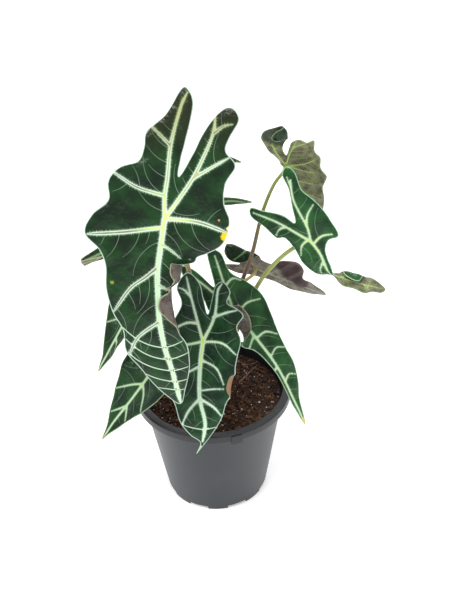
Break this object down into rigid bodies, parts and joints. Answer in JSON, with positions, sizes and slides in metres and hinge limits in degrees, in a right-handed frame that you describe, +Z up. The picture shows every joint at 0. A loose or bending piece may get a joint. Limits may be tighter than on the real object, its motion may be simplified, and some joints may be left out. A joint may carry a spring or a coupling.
{
  "type": "potted alocasia plant",
  "caption": "Free-standing houseplant: arrow-shaped leaves with pale veins on long stalks, growing from a corm in a round nursery pot of soil.",
  "frame": {"origin": "centre of the pot's underside, on the surface that the pot stands on", "axes": "+Z up along the pot's axis; -Y faces the front, where the two largest upright leaves show their upper faces; +X to the right seen from the front"},
  "size_m": [0.2715, 0.1709, 0.4215],
  "materials": {
    "pot_plastic": "satin",
    "potting_mix": "matte",
    "corm_skin": "matte",
    "stalk": "satin",
    "leaf": "gloss"
  },
  "bodies": {
    "root": {"pot": "pot_plastic", "soil": "potting_mix", "corm": "corm_skin", "stalk_front_left": "stalk", "stalk_front_middle": "stalk", "stalk_front_right": "stalk", "stalk_low_left": "stalk", "stalk_left": "stalk", "stalk_back_right": "stalk", "stalk_right": "stalk", "stalk_back_low": "stalk", "stalk_back_left": "stalk", "blade_front_left": "leaf", "blade_front_middle": "leaf", "blade_front_right": "leaf", "blade_low_left": "leaf", "blade_left": "leaf", "blade_back_right": "leaf", "blade_right": "leaf", "blade_back_low": "leaf", "blade_back_left": "leaf"}
  },
  "joints": []
}
